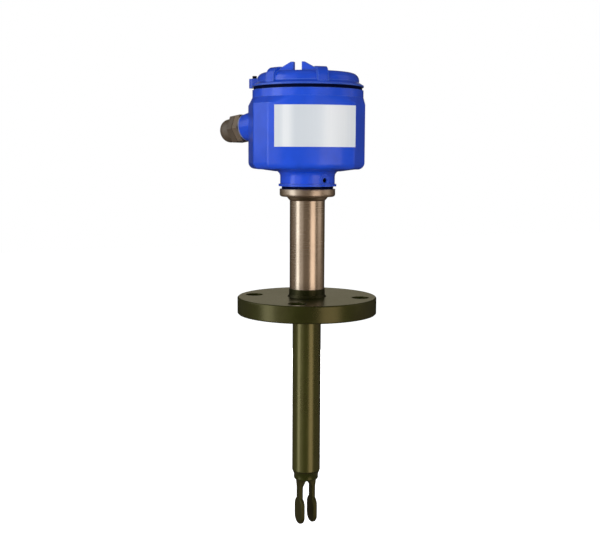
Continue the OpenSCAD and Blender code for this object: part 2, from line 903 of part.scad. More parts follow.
// The nut: a hexagon that runs into a dome with the cable hole
module gland_nut() {
    dome_base_r = gland_af / 2 - 1.3;
    hole_d = gland_bore_d + 2.2;
    color(gland_bronze)
    entry_frame()
    difference() {
        union() {
            hexagon(gland_af, nut_z, nut_hex_h);
            rotate_extrude() {
                translate([0, nut_z]) square([dome_base_r, nut_len - dome_r]);
                translate([0, nut_z]) square([dome_base_r - dome_r, nut_len]);
                intersection() {
                    translate([dome_base_r - dome_r, nut_top - dome_r]) circle(dome_r);
                    translate([0, nut_z]) square([dome_base_r, nut_len]);
                }
            }
        }
        translate([0, 0, nut_z - overlap]) cylinder(d = nut_bore_d, h = nut_seat_z - nut_z + overlap);
        translate([0, 0, nut_z]) cylinder(d = hole_d, h = nut_len + overlap);
    }
}

// Cover

module cover_gasket() {
    color(black_rubber) ring(mouth_d - 2.4, thread_d + 0.6, gasket_z, gasket_t);
}

// Section of the cover's outside above its rim, raised over the wall and over the top
module cover_section(wall_rise, top_rise, foot) {
    round_r = cover_round + wall_rise;
    round_x = wall_d / 2 - cover_round;
    round_z = cover_z + cover_h + top_rise - round_r;
    translate([round_x, round_z]) circle(round_r);
    translate([0, foot]) square([round_x + round_r, round_z - foot]);
    translate([0, foot]) square([round_x, round_z + round_r - foot]);
}

module cover_shell() {
    wall_r = wall_d / 2;
    slope_z = cover_z + rim_h;
    rotate_extrude() {
        cover_section(0, 0, slope_z);
        translate([0, cover_z]) square([rim_d / 2, rim_h]);
        polygon([
            [0, slope_z],
            [rim_d / 2, slope_z],
            [wall_r, slope_z + rim_slope_h],
            [0, slope_z + rim_slope_h],
        ]);
        translate([0, cover_z - skirt_len]) square([skirt_r, skirt_len + overlap]);
    }
}

// Grip lugs that run down from the top over the rounded edge
module cover_lugs() {
    lug_start = wall_d / 2 - cover_round - lug_in;
    for (fin = [-90, 90], side = [-1, 1])
        rotate(fin + side * lug_angle)
        intersection() {
            rotate_extrude() cover_section(lug_rise, lug_top_rise, cover_z + rim_h);
            translate([lug_start, -lug_w / 2, cover_z + rim_h])
            cube([wall_d, lug_w, cover_h + lug_top_rise]);
        }
}

// A fin with sloping ends and a slot for a turning bar
module cover_fin() {
    top = cover_z + cover_h;
    slot = bar_slot_w / 2;
    foot = top - overlap;
    translate([0, -fin_dist + fin_t / 2, 0])
    rotate([90, 0, 0])
    linear_extrude(fin_t)
    for (side = [0, 1])
        mirror([side, 0])
        polygon([
            [slot, foot],
            [fin_half, foot],
            [fin_half, top],
            [fin_crest, top + fin_h],
            [slot, top + fin_h]
        ]);
}

// The ear for the lock screw, joined to the wall by a web
module cover_ear() {
    translate([-ear_dist, 0, cover_z]) cylinder(d = ear_d, h = ear_h);
    translate([-ear_dist, -ear_d / 2, cover_z]) cube([ear_dist - wall_d / 2 + 2 * overlap, ear_d, ear_h]);
}

module cover() {
    color(blue_paint)
    difference() {
        cover_frame()
        union() {
            cover_shell();
            cover_lugs();
            cover_fin();
            rotate(180) cover_fin();
            cover_ear();
        }
        translate([0, 0, cover_z - skirt_len - overlap])
        cylinder(r = skirt_r - skirt_t, h = skirt_len + cover_h - cover_top_t + overlap);
        ear_frame()
        translate([0, 0, cover_z - overlap])
        cylinder(d = lock_screw_d + 2 * fit_gap, h = ear_h + 2 * overlap);
    }
}

module cover_lock_screw() {
    proud = 2.6;
    socket_depth = 2;
    color([0.12, 0.12, 0.14])
    ear_frame()
    difference() {
        translate([0, 0, cover_z]) cylinder(d = lock_screw_d, h = ear_h + proud);
        hexagon(lock_screw_d / 2, cover_z + ear_h + proud - socket_depth, socket_depth + overlap);
    }
}

// Electronics

// A disc with one flat side towards the cable entry
module d_disc(d, flat_dist, z, h) {
    translate([0, 0, z])
    linear_extrude(h)
    intersection() {
        circle(d = d);
        half_plane(entry_turn, flat_dist);
    }
}

module electronics_cup() {
    inside_d = cup_d - 2 * cup_wall;
    color([0.2, 0.2, 0.22])
    difference() {
        union() {
            difference() {
                housing_frame() d_disc(cup_d, cup_flat_dist, cup_z, cup_h);
                housing_frame() d_disc(inside_d, cup_flat_dist - cup_wall, cup_z + cup_wall, cup_h);
            }
            intersection() {
                cup_screw_places() translate([0, 0, cup_z]) cylinder(d = column_d, h = board_z - cup_z);
                housing_frame() d_disc(cup_d, cup_flat_dist, cup_z, cup_h);
            }
        }
        translate([0, 0, cup_z - overlap]) cylinder(d = spigot_bore_d, h = cup_wall + 2 * overlap);
        cup_screw_places()
        translate([0, 0, cup_z - overlap])
        cylinder(d = screw_d + 2 * run_gap, h = cup_h);
    }
}

module circuit_board() {
    color([0.1, 0.4, 0.2])
    difference() {
        housing_frame()
        d_disc(cup_d - 2 * cup_wall - 2 * run_gap, cup_flat_dist - cup_wall - run_gap, board_z, board_t);
        translate([0, 0, board_z - overlap]) cylinder(d = cable_d + 2 * run_gap, h = board_t + 2 * overlap);
        cup_screw_places()
        translate([0, 0, board_z - overlap])
        cylinder(d = screw_d + 2 * run_gap, h = board_t + 2 * overlap);
    }
}

// Pan head screws through the board and the cup into the housing's posts
module cup_screws() {
    head_d = 1.9 * screw_d;
    shank_z = cup_z - screw_bite + run_gap;
    slot_w = 0.8;
    color(steel)
    cup_screw_places()
    difference() {
        union() {
            translate([0, 0, shank_z]) cylinder(d = screw_d, h = board_top - shank_z + overlap);
            translate([0, 0, board_top]) cylinder(d = head_d, h = screw_head_h);
        }
        block([0, 0], [head_d + overlap, slot_w, screw_head_h], board_top + screw_head_h / 2);
    }
}

// A moulded strip with a screw well and a wire mouth for each terminal
module terminal_block() {
    well_d = 0.62 * terminal_pitch;
    well_h = 0.45 * terminal_h;
    mouth_w = 0.6 * terminal_pitch;
    mouth_h = 0.3 * terminal_h;
    color([0.15, 0.35, 0.25])
    difference() {
        housing_frame() block([0, terminal_y], [terminal_len, terminal_depth, terminal_h], board_top);
        terminal_places() {
            translate([0, 0, board_top + terminal_h - well_h]) cylinder(d = well_d, h = well_h + overlap);
            block([0, -terminal_depth / 2], [mouth_w, terminal_depth, mouth_h], board_top + 2);
        }
    }
}

module terminal_screws() {
    head_d = 0.56 * terminal_pitch;
    head_h = 0.2 * terminal_h;
    well_h = 0.45 * terminal_h;
    slot_w = 0.7;
    color(steel)
    terminal_places()
    translate([0, 0, board_top + terminal_h - well_h])
    difference() {
        cylinder(d = head_d, h = head_h);
        block([0, 0], [head_d + overlap, slot_w, head_h], head_h / 2);
    }
}

module output_relay() {
    color("black")
    housing_frame() translate([relay_pos[0], relay_pos[1], board_top]) cube(relay_size);
}

// The socket round the cable's end
module cable_header() {
    color("ivory") ring(2.6 * cable_d, cable_d + 2 * run_gap, board_top, cable_top - board_top - overlap);
}

module mode_switch() {
    slot_len = slider_travel + 3;
    slot_w = switch_w / 2;
    color([0.25, 0.25, 0.28])
    housing_frame()
    difference() {
        block(switch_pos, [switch_len, switch_w, switch_h], board_top);
        block(switch_pos, [slot_len, slot_w, switch_h], board_top + switch_h / 2);
    }
}

// The slider, shown at the start of its travel along the slot
module mode_slider() {
    knob_l = 3 - 2 * run_gap;
    knob_w = switch_w / 2 - 2 * run_gap;
    start = [switch_pos[0] - slider_travel / 2, switch_pos[1]];
    color("white")
    housing_frame()
    block(start, [knob_l, knob_w, switch_h / 2 + 1.6], board_top + switch_h / 2 + face_gap);
}

module status_leds() {
    collar = 0.5;
    post_h = 3;
    color([0.3, 0.8, 0.4])
    housing_frame()
    for (i = [0, 1])
        translate([led_pos[0], led_pos[1] - i * led_pitch, board_top]) {
            cylinder(d = led_d + collar, h = 1);
            cylinder(d = led_d, h = post_h);
            translate([0, 0, post_h]) sphere(d = led_d);
        }
}

module earth_screw() {
    head_d = 1.8 * earth_screw_d;
    head_h = 2.4;
    clamp_t = 1.5;
    shank_z = cup_z - screw_bite + run_gap;
    slot_w = 1;
    color(brass)
    earth_frame()
    difference() {
        union() {
            translate([0, 0, shank_z]) cylinder(d = earth_screw_d, h = cup_z + clamp_t - shank_z + overlap);
            translate([0, 0, cup_z + clamp_t]) cylinder(d = head_d, h = head_h);
        }
        block([0, 0], [head_d + overlap, slot_w, head_h], cup_z + clamp_t + head_h / 2);
    }
}

module earth_clamp() {
    clamp_t = 1.5;
    color(steel) earth_frame() ring(earth_post_d, earth_screw_d + 2 * run_gap, cup_z, clamp_t);
}

flange();
flange_weld();
stem_tube();
fork();
stack_stud();
stack_insulators();
piezo_discs();
electrode_plates();
stack_spring();
stack_nut();
sensor_cable();
stem_plug();
neck_tube();
swivel_adapter();
swivel_seal_ring();
neck_seal();
retaining_ring();
cable_grommet();
housing_body();
rating_plate();
neck_set_screw();
gland_washer();
gland_body();
gland_seal();
gland_slip_ring();
gland_nut();
cover_gasket();
cover();
cover_lock_screw();
electronics_cup();
circuit_board();
cup_screws();
terminal_block();
terminal_screws();
output_relay();
cable_header();
mode_switch();
mode_slider();
status_leds();
earth_screw();
earth_clamp();
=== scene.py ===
"""Finishes, threads and a studio stage for a vibrating fork level switch."""
import math

import bpy
from mathutils import Matrix, Vector


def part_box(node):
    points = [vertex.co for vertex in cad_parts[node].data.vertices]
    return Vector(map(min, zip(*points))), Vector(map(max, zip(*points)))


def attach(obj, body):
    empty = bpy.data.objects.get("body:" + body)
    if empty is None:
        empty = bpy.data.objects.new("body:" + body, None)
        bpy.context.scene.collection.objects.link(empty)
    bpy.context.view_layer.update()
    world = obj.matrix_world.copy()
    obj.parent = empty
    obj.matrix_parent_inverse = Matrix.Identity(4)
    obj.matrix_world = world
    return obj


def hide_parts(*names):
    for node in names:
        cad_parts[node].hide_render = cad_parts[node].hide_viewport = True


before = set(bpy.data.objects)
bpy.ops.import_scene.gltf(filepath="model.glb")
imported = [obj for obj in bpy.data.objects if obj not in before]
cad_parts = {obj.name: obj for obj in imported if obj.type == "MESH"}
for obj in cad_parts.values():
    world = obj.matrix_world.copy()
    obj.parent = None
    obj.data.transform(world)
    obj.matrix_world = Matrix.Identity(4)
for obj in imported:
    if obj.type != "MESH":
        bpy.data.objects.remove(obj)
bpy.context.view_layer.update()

bl_info = {
    "name": "Fork level switch",
    "version": (1, 0, 0),
    "blender": (4, 5, 0),
    "location": "View3D > Sidebar > Level switch",
    "description": "Dresses a flanged fork level switch and sets its studio stage",
    "category": "Object",
}

MM = 0.001

# The housing's turn on the neck, and the cable entry, which leans down from the end of its boss
HOUSING_TURN = math.radians(-17.5)
ENTRY_TURN = HOUSING_TURN + math.radians(135)
ENTRY_LEAN = math.radians(8)
BOSS_REACH = 71 * MM
BOSS_Z = 169.2 * MM

# The cover's thread starts above the cover's lower edge, the gland's at a distance from the stem's axis
COVER_THREAD_RADIUS = 43.65 * MM
COVER_THREAD_START = 1.6 * MM
COVER_THREAD_TURNS = 3
GLAND_THREAD_RADIUS = 8.8 * MM
GLAND_THREAD_START = 79.4 * MM
GLAND_THREAD_TURNS = 5
STEPS_IN_A_TURN = 72

# Points of a mesh that lie closer than this are joined
SKIN_MERGE = 0.005 * MM
RIDGE_MERGE = 0.001 * MM

# A painted highlight that the blue paint gets along its edges, and the tint of the olive coating's sheen
EDGE_HIGHLIGHT = (0.08, 0.13, 0.14)
AMBER_SHEEN = (1.0, 0.86, 0.42)

# The stage
SENSOR_WIDTH = 36
FLOOR_SIZE = 8
FLOOR_Z = -320 * MM
FLOOR_GREY = (0.9, 0.9, 0.9)
LIGHT_TARGET = (0, 0, 60 * MM)
WHITE = (1.0, 1.0, 1.0)
COOL_WHITE = (0.92, 0.98, 1.0)
MATT_GLOW = (0.19, 0.205, 0.22)
ROOM_BROWN = (0.2, 0.165, 0.125)

# Name, degrees round from the camera, height, distance, width and tallness, watts, colour
GLOSS_LIGHTS = (
    ("left_strip", -64, 0.15, 1.0, (0.38, 1.5), 4.0, COOL_WHITE),
    ("left_soft", -38, 0.15, 1.0, (0.42, 1.5), 0.7, (1.0, 0.98, 0.95)),
    ("left_box", -89, 0.55, 1.0, (0.7, 0.9), 2.2, COOL_WHITE),
    ("right_box", 37.5, -0.22, 1.1, (0.64, 0.86), 2.6, (1.0, 0.86, 0.74)),
    ("right_side", 88, 0.36, 1.0, (0.6, 0.9), 0.9, (1.0, 0.92, 0.84)),
    ("back_glow", 180, 0.4, 1.2, (0.6, 0.6), 0.5, (1.0, 0.92, 0.66)),
)
FILL_LIGHTS = (
    ("key_fill", -52, 0.05, 1.3, (1.0, 1.0), 12.2, (1.0, 0.99, 0.97)),
    ("front_fill", 26, 0.05, 1.4, (1.0, 1.0), 9.6, WHITE),
    ("top_fill", -10, 1.4, 0.4, (1.0, 1.0), 2.8, WHITE),
    ("back_fill", 170, 0.1, 1.4, (1.0, 1.0), 10, WHITE),
)


def tone(red, green, blue):
    """A colour as a screen shows it, from 0 to 255, as the linear values that a shader takes."""
    def linear(level):
        level /= 255
        return level / 12.92 if level <= 0.04045 else ((level + 0.055) / 1.055) ** 2.4
    return (linear(red), linear(green), linear(blue))


# Sizes and colours that a user would change

class PaintColours(bpy.types.PropertyGroup):
    """Colours of the coatings, the steel and the gland"""
    blue: bpy.props.FloatVectorProperty(
        name="Housing blue", description="Powder coat on the housing and the cover",
        subtype="COLOR", size=3, min=0, max=1, default=tone(28, 79, 214))
    olive: bpy.props.FloatVectorProperty(
        name="Olive coating", description="Coating on the flange and the stem",
        subtype="COLOR", size=3, min=0, max=1, default=tone(31, 38, 6))
    weld_green: bpy.props.FloatVectorProperty(
        name="Weld coating", description="Darker coating over the weld above the flange",
        subtype="COLOR", size=3, min=0, max=1, default=tone(18, 26, 8))
    fork_brown: bpy.props.FloatVectorProperty(
        name="Fork coating", description="Dark coating on the fork",
        subtype="COLOR", size=3, min=0, max=1, default=tone(34, 35, 10))
    steel: bpy.props.FloatVectorProperty(
        name="Warm steel", description="Turned steel of the neck",
        subtype="COLOR", size=3, min=0, max=1, default=tone(206, 188, 170))
    gland: bpy.props.FloatVectorProperty(
        name="Gland", description="Moulded cable gland",
        subtype="COLOR", size=3, min=0, max=1, default=tone(90, 77, 62))


class ThreadSizes(bpy.types.PropertyGroup):
    """Sizes of the cover's and the gland's threads"""
    cover_pitch: bpy.props.FloatProperty(
        name="Cover pitch", description="Rise of the cover's thread in one turn",
        unit="LENGTH", min=0.0005, max=0.004, default=2 * MM)
    gland_pitch: bpy.props.FloatProperty(
        name="Gland pitch", description="Rise of the gland's thread in one turn",
        unit="LENGTH", min=0.0005, max=0.004, default=1.5 * MM)
    ridge: bpy.props.FloatProperty(
        name="Ridge height", description="How far a thread stands out",
        unit="LENGTH", min=0.0001, max=0.0003, default=0.22 * MM)


class StageValues(bpy.types.PropertyGroup):
    """Place and lens of the camera"""
    camera_turn: bpy.props.FloatProperty(
        name="Camera direction", description="Where the camera stands round the stem",
        subtype="ANGLE", default=math.radians(-26))
    camera_distance: bpy.props.FloatProperty(
        name="Camera distance", description="Level distance from the camera to the stem",
        unit="LENGTH", min=0.2, max=5, default=871 * MM)
    camera_height: bpy.props.FloatProperty(
        name="Camera height", description="Height of the camera above the flange's lower face",
        unit="LENGTH", min=-1, max=2, default=140 * MM)
    camera_tilt: bpy.props.FloatProperty(
        name="Camera tilt", description="How far the camera looks down",
        subtype="ANGLE", default=math.radians(6.89))
    camera_yaw: bpy.props.FloatProperty(
        name="Camera yaw", description="How far the camera looks to the left of the stem",
        subtype="ANGLE", default=math.radians(0.42))
    camera_roll: bpy.props.FloatProperty(
        name="Camera roll", description="Turn of the camera about its own line of sight",
        subtype="ANGLE", default=math.radians(0.25))
    lens: bpy.props.FloatProperty(
        name="Lens", description="Focal length on a 36 mm sensor", min=20, max=200, default=57.6)


# Shader maths

class Field:
    """A value that varies from place to place: a node's output, with arithmetic that adds Math nodes."""

    def __init__(self, nodes, socket):
        self.nodes = nodes
        self.socket = socket

    def math(self, operation, first, second):
        """A Math node on two fields or numbers."""
        return self.nodes.node("ShaderNodeMath", {"operation": operation}, {0: first, 1: second})

    def __add__(self, other):
        return self.math("ADD", self, other)

    __radd__ = __add__

    def __sub__(self, other):
        return self.math("SUBTRACT", self, other)

    def __rsub__(self, other):
        return self.math("SUBTRACT", other, self)

    def __mul__(self, other):
        return self.math("MULTIPLY", self, other)

    __rmul__ = __mul__

    def between(self, low, high):
        """0 up to low, 1 from high, and a smooth step between them."""
        return self.nodes.node(
            "ShaderNodeMapRange", {"interpolation_type": "SMOOTHSTEP"},
            {"Value": self, "From Min": low, "From Max": high})


class Nodes:
    """A material's or a world's tree, built node by node."""

    def __init__(self, tree):
        self.tree = tree

    def node(self, kind, settings=None, inputs=None, output=0):
        """One output of a new node, with its settings and the values or links of its sockets."""
        added = self.tree.nodes.new(kind)
        for key, value in (settings or {}).items():
            setattr(added, key, value)
        for key, value in (inputs or {}).items():
            self.feed(added.inputs[key], value)
        return Field(self, added.outputs[output])

    def feed(self, socket, value):
        """Links a field to a socket, or sets a constant there; a colour gets its alpha."""
        if isinstance(value, Field):
            self.tree.links.new(value.socket, socket)
        elif hasattr(socket.default_value, "__len__") and len(value) < len(socket.default_value):
            socket.default_value = (*value, 1)
        else:
            socket.default_value = value


class Finish(Nodes):
    """A material, with the nodes that a surface needs. Its constants go by their sockets' names."""

    def __init__(self, name, **constants):
        self.material = bpy.data.materials.new(name)
        self.material.use_nodes = True
        super().__init__(self.material.node_tree)
        self.shader = self.tree.nodes["Principled BSDF"]
        for word, value in constants.items():
            self.set(word.replace("_", " ").title().replace("Ior", "IOR"), value)

    def set(self, socket, value):
        """Feeds one of the shader's sockets."""
        self.feed(self.shader.inputs[socket], value)

    def place(self, stretch=(1, 1, 1)):
        """Where a point lies on the object, with each axis stretched for a grain."""
        coordinates = self.node("ShaderNodeTexCoord", output="Object")
        if stretch == (1, 1, 1):
            return coordinates
        return self.node("ShaderNodeMapping", {}, {"Vector": coordinates, "Scale": stretch})

    def height(self):
        """How high a point lies, in metres."""
        return self.node("ShaderNodeSeparateXYZ", {}, {0: self.place()}, "Z")

    def noise(self, scale, detail=2.0, stretch=(1, 1, 1), roughness=0.5):
        """Soft patches from 0 to 1, finer with a larger scale."""
        return self.node("ShaderNodeTexNoise", {}, {
            "Vector": self.place(stretch), "Scale": scale, "Detail": detail, "Roughness": roughness})

    def mix(self, factor, low, high):
        """From one colour to another."""
        return self.node("ShaderNodeMix", {"data_type": "RGBA"}, {0: factor, 6: low, 7: high}, 2)

    def soften(self, radius):
        """Rounds the look of sharp edges."""
        return self.node("ShaderNodeBevel", {"samples": 4}, {"Radius": radius})

    def edges(self, radius):
        """1 along sharp edges and 0 away from them."""
        straight = self.node("ShaderNodeNewGeometry", output="Normal")
        facing = self.node("ShaderNodeVectorMath", {"operation": "DOT_PRODUCT"},
                           {0: self.soften(radius), 1: straight}, "Value")
        return (1 - facing).between(0, 0.12)

    def bump(self, relief, depth, strength, base=None):
        """Raises the surface by a field, over softened edges where a base is given."""
        inputs = {"Height": relief, "Distance": depth, "Strength": strength}
        if base is not None:
            inputs["Normal"] = base
        self.set("Normal", self.node("ShaderNodeBump", {}, inputs))


def shade(colour, factor):
    """A darker colour, or a lighter one where the factor is above 1."""
    return tuple(min(1.0, level * factor) for level in colour)


# Finishes

def blue_paint(name, colour, edge_highlight=0.7, edge=1.2 * MM):
    """Satin powder coat with a faint orange peel, thick enough to round the edges, and with a painted
    highlight along them.
    """
    finish = Finish(name, coat_roughness=0.16, specular_ior_level=0.1)
    cloud = finish.noise(45, 3)
    base = finish.mix(cloud.between(0.3, 0.7), shade(colour, 0.92), shade(colour, 1.08))
    # Painted highlight: a paler blue laid along the sharp edges
    worn = tuple(level + pale for level, pale in zip(colour, EDGE_HIGHLIGHT))
    finish.set("Base Color", finish.mix(edge_highlight * finish.edges(edge), base, worn))
    finish.set("Roughness", 0.36 + 0.08 * finish.noise(260))
    finish.set("Coat Weight", 0.6 + 0.15 * cloud)
    finish.bump(finish.noise(900), 0.04 * MM, 0.35, finish.soften(1.8 * MM))
    return finish.material


def olive_coating(name, colour, dark, gloss, shine, relief):
    """A thick sprayed coating that runs a little, with lighter dust on top."""
    finish = Finish(name, ior=1.8, specular_ior_level=shine, specular_tint=AMBER_SHEEN)
    cloud = finish.noise(30, 4, roughness=0.6)
    speck = finish.noise(700).between(0.56, 0.72)
    base = finish.mix(cloud.between(0.32, 0.68), shade(colour, dark), colour)
    finish.set("Base Color", finish.mix(0.18 * speck, base, shade(colour, 1.4)))
    finish.set("Roughness", gloss + 0.1 * cloud + 0.06 * speck)
    runs = finish.noise(160, 3) + 0.3 * finish.noise(800, 1)
    finish.bump(runs, 0.06 * MM, relief, finish.soften(0.9 * MM))
    return finish.material


def fork_coating(name, coating, brown):
    """Coated as the stem is at the fork's foot, and worn dark below, with a painted shade in the joint."""
    finish = Finish(name, ior=1.8, specular_ior_level=0.32, specular_tint=AMBER_SHEEN)
    height = finish.height()
    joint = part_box("stem_tube")[0].z
    foot = height.between(joint - 10 * MM, joint - 8 * MM)
    # Painted shade: a dark band in the groove just below the stem
    joint_painted_shade = height.between(joint - 1.6 * MM, joint - 0.6 * MM)
    cloud = finish.noise(30, 4, roughness=0.6)
    worn = finish.mix(cloud.between(0.32, 0.68), shade(brown, 0.6), brown)
    coated = finish.mix(foot, worn, coating)
    finish.set("Base Color", finish.mix(0.85 * joint_painted_shade, coated, tone(8, 8, 3)))
    finish.set("Roughness", 0.42 - 0.18 * foot + 0.3 * joint_painted_shade + 0.08 * cloud)
    finish.bump(finish.noise(160, 3), 0.06 * MM, 0.15, finish.soften(0.6 * MM))
    return finish.material


def turned_steel(name, colour, gloss=0.17, edge=0.4 * MM):
    """Turned steel: fine rings round the axis and a warm tint in patches."""
    finish = Finish(name, metallic=1.0)
    rings = finish.noise(12, 3, (1, 1, 260), 0.6)
    patch = finish.noise(35, 3)
    base = finish.mix(patch.between(0.35, 0.7), colour, shade(colour, 0.86))
    finish.set("Base Color", finish.mix(0.35 * rings, base, shade(colour, 0.7)))
    finish.set("Roughness", gloss + 0.12 * rings + 0.05 * patch)
    finish.bump(rings, 0.02 * MM, 0.3, finish.soften(edge))
    return finish.material


def brushed_plate(name):
    """A bare label plate with a faint upright grain, painted upright bands of sheen and painted light that
    grows to the right.
    """
    finish = Finish(name, specular_ior_level=0.3)
    turned = finish.node("ShaderNodeMapping", {}, {
        "Vector": finish.place(), "Rotation": (0, 0, -HOUSING_TURN)})
    across = finish.node("ShaderNodeSeparateXYZ", {}, {0: turned}, "X")
    # Painted highlights: a wide band to the right of the middle and a narrow one near the left edge
    sheen = across.between(0, 14 * MM) - across.between(22 * MM, 36 * MM)
    glint = across.between(-32 * MM, -26 * MM) - across.between(-25 * MM, -17 * MM)
    grain = finish.noise(9, 2, (160, 160, 1), 0.55)
    # Painted light: the plate is lighter towards the right
    painted_light_ramp = finish.mix(across.between(-20 * MM, 36 * MM), tone(214, 219, 224), tone(246, 249, 252))
    base = finish.mix(0.9 * sheen + 0.6 * glint, painted_light_ramp, tone(252, 252, 252))
    finish.set("Base Color", finish.mix(0.25 * grain, base, tone(206, 210, 216)))
    finish.set("Roughness", 0.34 + 0.1 * grain)
    finish.bump(grain, 0.01 * MM, 0.2)
    return finish.material


def rubber(name, dark, pale, shine):
    """Dull rubber with a fine grain."""
    finish = Finish(name, specular_ior_level=shine)
    cloud = finish.noise(220, 3)
    finish.set("Base Color", finish.mix(cloud, dark, pale))
    finish.set("Roughness", 0.55 + 0.25 * cloud)
    finish.bump(finish.noise(1500), 0.05 * MM, 0.5)
    return finish.material


def moulded(name, colour, gloss):
    """Moulded plastic with a fine grain and a little dust."""
    finish = Finish(name)
    cloud = finish.noise(60, 3)
    finish.set("Base Color", finish.mix(cloud.between(0.3, 0.7), shade(colour, 0.85), shade(colour, 1.15)))
    finish.set("Roughness", gloss + 0.15 * cloud)
    finish.bump(finish.noise(1400), 0.04 * MM, 0.4, finish.soften(0.4 * MM))
    return finish.material


def plated(name, colour, gloss=0.25):
    """Plated metal of small hardware, duller in patches."""
    finish = Finish(name, metallic=1.0)
    cloud = finish.noise(400, 3)
    finish.set("Base Color", finish.mix(cloud, colour, shade(colour, 0.75)))
    finish.set("Roughness", gloss + 0.2 * cloud)
    finish.bump(finish.noise(2500), 0.02 * MM, 0.3)
    return finish.material


def board_lacquer(name):
    """Green solder mask over a faint pattern of tracks."""
    finish = Finish(name)
    tracks = finish.noise(180, 0, (1, 5, 1)).between(0.48, 0.52)
    cloud = finish.noise(50)
    finish.set("Base Color", finish.mix(tracks, tone(20, 92, 48), tone(36, 122, 66)))
    finish.set("Roughness", 0.25 + 0.15 * cloud)
    finish.bump(tracks, 0.03 * MM, 0.4)
    return finish.material


def clear_lamp(name):
    """Glossy green lens of a status lamp."""
    finish = Finish(name)
    cloud = finish.noise(500, 1)
    finish.set("Base Color", finish.mix(cloud, tone(80, 190, 100), tone(120, 220, 140)))
    finish.set("Roughness", 0.08 + 0.08 * cloud)
    finish.set("Coat Weight", 0.4 + 0.3 * cloud)
    return finish.material


def dress(material, *names):
    """Gives CAD nodes their finish."""
    for name in names:
        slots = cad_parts[name].data.materials
        slots.clear()
        slots.append(material)


# Mesh helpers

def start_piece():
    """Deselects everything in object mode, so that the next operator acts on its own piece only."""
    if bpy.context.object is not None and bpy.context.object.mode != "OBJECT":
        bpy.ops.object.mode_set(mode="OBJECT")
    bpy.ops.object.select_all(action="DESELECT")


def settle(piece, name, body, material, crease=math.radians(35)):
    """Applies a piece's place to its mesh, and hangs it on its body."""
    start_piece()
    piece.select_set(True)
    bpy.context.view_layer.objects.active = piece
    bpy.ops.object.transform_apply(location=True, rotation=True, scale=True)
    piece.name = name
    piece.data.name = name
    piece.data.materials.clear()
    piece.data.materials.append(material)
    bpy.ops.object.shade_smooth_by_angle(angle=crease)
    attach(piece, body)


def smooth_skin(node, body, material):
    """A copy of a CAD node whose facets are joined, so that its curves shade as curves."""
    start_piece()
    skin = bpy.data.objects.new(node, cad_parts[node].data.copy())
    bpy.context.scene.collection.objects.link(skin)
    skin.select_set(True)
    bpy.context.view_layer.objects.active = skin
    bpy.ops.mesh.customdata_custom_splitnormals_clear()
    bpy.ops.object.mode_set(mode="EDIT")
    bpy.ops.mesh.select_all(action="SELECT")
    bpy.ops.mesh.remove_doubles(threshold=SKIN_MERGE)
    bpy.ops.object.mode_set(mode="OBJECT")
    settle(skin, node + "_skin", body, material, math.radians(28))
    weights = skin.modifiers.new("flat_faces", "WEIGHTED_NORMAL")
    weights.keep_sharp = True
    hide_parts(node)


def thread_ridge(radius, depth, pitch, turns, bottom):
    """A ridge of triangular section that winds up a cylinder along Z."""
    start_piece()
    bpy.ops.mesh.primitive_circle_add(vertices=3, radius=depth, fill_type="NOTHING", location=(0, 0, 0))
    ridge = bpy.context.object
    ridge.rotation_euler = (math.radians(90), 0, 0)
    bpy.ops.object.transform_apply(rotation=True)
    bpy.ops.object.mode_set(mode="EDIT")
    bpy.ops.mesh.select_all(action="SELECT")
    bpy.ops.transform.rotate(value=math.radians(-90), orient_axis="Y", center_override=(0, 0, 0))
    bpy.ops.transform.translate(value=(radius, 0, bottom))
    bpy.ops.object.mode_set(mode="OBJECT")
    screw = ridge.modifiers.new("turns", "SCREW")
    screw.axis = "Z"
    screw.angle = math.tau
    screw.screw_offset = pitch
    screw.iterations = turns
    screw.steps = STEPS_IN_A_TURN
    screw.render_steps = STEPS_IN_A_TURN
    screw.use_merge_vertices = True
    bpy.ops.object.modifier_apply(modifier=screw.name)
    bpy.ops.object.mode_set(mode="EDIT")
    bpy.ops.mesh.select_all(action="SELECT")
    bpy.ops.mesh.remove_doubles(threshold=RIDGE_MERGE)
    # Closes the two open ends
    bpy.ops.mesh.select_all(action="DESELECT")
    bpy.ops.mesh.select_non_manifold()
    bpy.ops.mesh.edge_face_add()
    bpy.ops.mesh.select_all(action="SELECT")
    bpy.ops.mesh.normals_make_consistent(inside=False)
    bpy.ops.object.mode_set(mode="OBJECT")
    return ridge


def around(turn, distance, height):
    """A place at a level distance from the stem, turned about it from the -Y side."""
    return Vector((distance * math.sin(turn), -distance * math.cos(turn), height))


# Operators

class LEVELSWITCH_OT_process(bpy.types.Operator):
    """Coats the flange, the stem and the fork"""
    bl_idname = "levelswitch.process"
    bl_label = "Coat the process side"

    def execute(self, context):
        colours = context.scene.level_paint
        olive = colours.olive
        green = colours.weld_green
        dress(olive_coating("olive_coating", olive, dark=0.62, gloss=0.24, shine=0.4, relief=0.1),
              "flange")
        # The stem has the flange's coating, lightened as painted light
        dress(olive_coating("stem_coating_painted_light", shade(olive, 1.4), dark=0.7, gloss=0.23, shine=0.7, relief=0.1),
              "stem_tube")
        dress(olive_coating("weld_coating", green, dark=0.6, gloss=0.28, shine=0.25, relief=0.2),
              "flange_weld")
        smooth_skin("fork", "process",
                    fork_coating("fork_coating", olive, colours.fork_brown))
        return {"FINISHED"}


